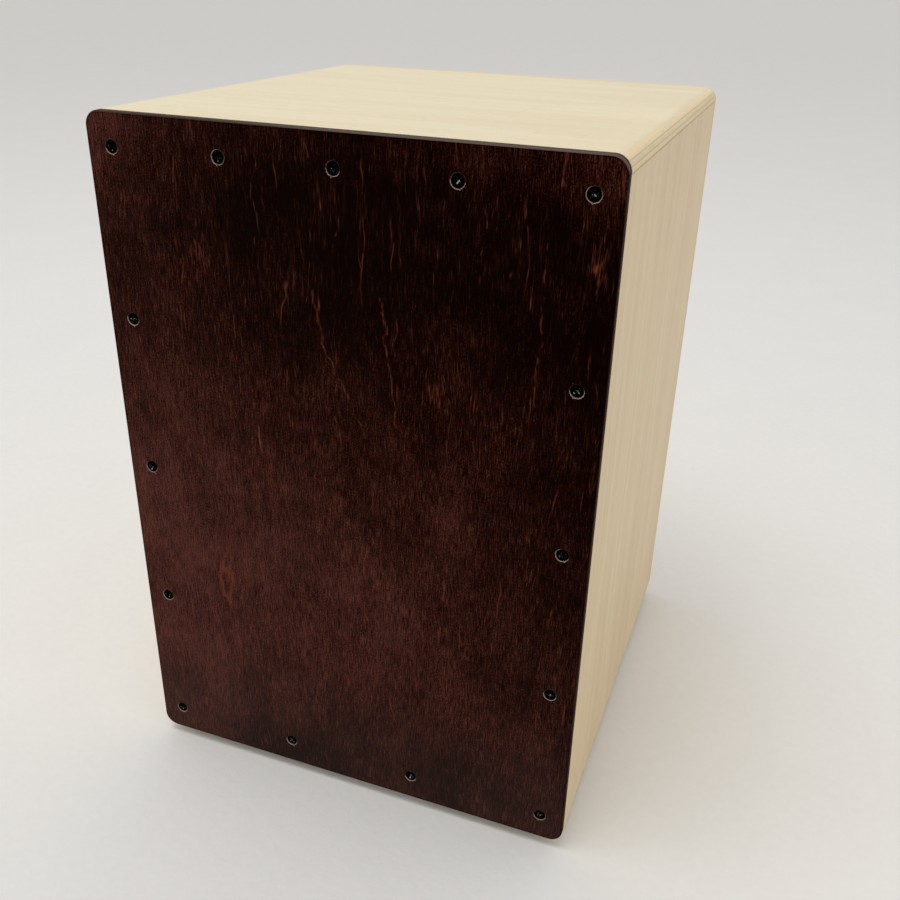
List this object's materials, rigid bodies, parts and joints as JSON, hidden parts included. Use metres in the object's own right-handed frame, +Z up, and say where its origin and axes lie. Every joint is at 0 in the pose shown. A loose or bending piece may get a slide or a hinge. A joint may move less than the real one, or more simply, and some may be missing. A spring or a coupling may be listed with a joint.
{
  "type": "cajon",
  "caption": "Children's box drum: birch plywood box with rounded long edges, dark stained playing plate on countersunk screws, fixed snares inside, a round sound hole behind and rubber feet.",
  "frame": {"origin": "on the floor under the middle of the box", "axes": "+Z up, +X to the right along the front plate as a listener sees it, -Y out of the front plate"},
  "size_m": [0.24, 0.25, 0.35],
  "materials": {
    "birch_ply": "pale birch plywood under clear satin varnish, ply edges showing",
    "stained_birch": "birch plywood stained dark red-brown, satin varnish",
    "pine_strip": "planed raw softwood",
    "black_screws": "black oxide steel",
    "snare_steel": "bright spring steel",
    "washer_zinc": "zinc-plated steel",
    "foot_rubber": "black moulded rubber"
  },
  "bodies": {
    "root": {"top_panel": "birch_ply", "bottom_panel": "birch_ply", "left_side_panel": "birch_ply", "right_side_panel": "birch_ply", "back_panel": "birch_ply", "front_plate": "stained_birch", "front_plate_screws": "black_screws", "front_top_batten": "pine_strip", "front_bottom_batten": "pine_strip", "front_left_batten": "pine_strip", "front_right_batten": "pine_strip", "back_top_batten": "pine_strip", "back_bottom_batten": "pine_strip", "back_left_batten": "pine_strip", "back_right_batten": "pine_strip", "top_left_corner_strip": "pine_strip", "top_right_corner_strip": "pine_strip", "bottom_left_corner_strip": "pine_strip", "bottom_right_corner_strip": "pine_strip", "snare_bar": "pine_strip", "left_snare_cleat": "pine_strip", "right_snare_cleat": "pine_strip", "snare_bar_screws": "black_screws", "left_snare_clip": "snare_steel", "right_snare_clip": "snare_steel", "left_snare_wires": "snare_steel", "right_snare_wires": "snare_steel", "snare_clip_screws": "black_screws", "front_left_foot": "foot_rubber", "front_right_foot": "foot_rubber", "back_left_foot": "foot_rubber", "back_right_foot": "foot_rubber", "foot_washers": "washer_zinc", "foot_screws": "black_screws"}
  },
  "joints": []
}
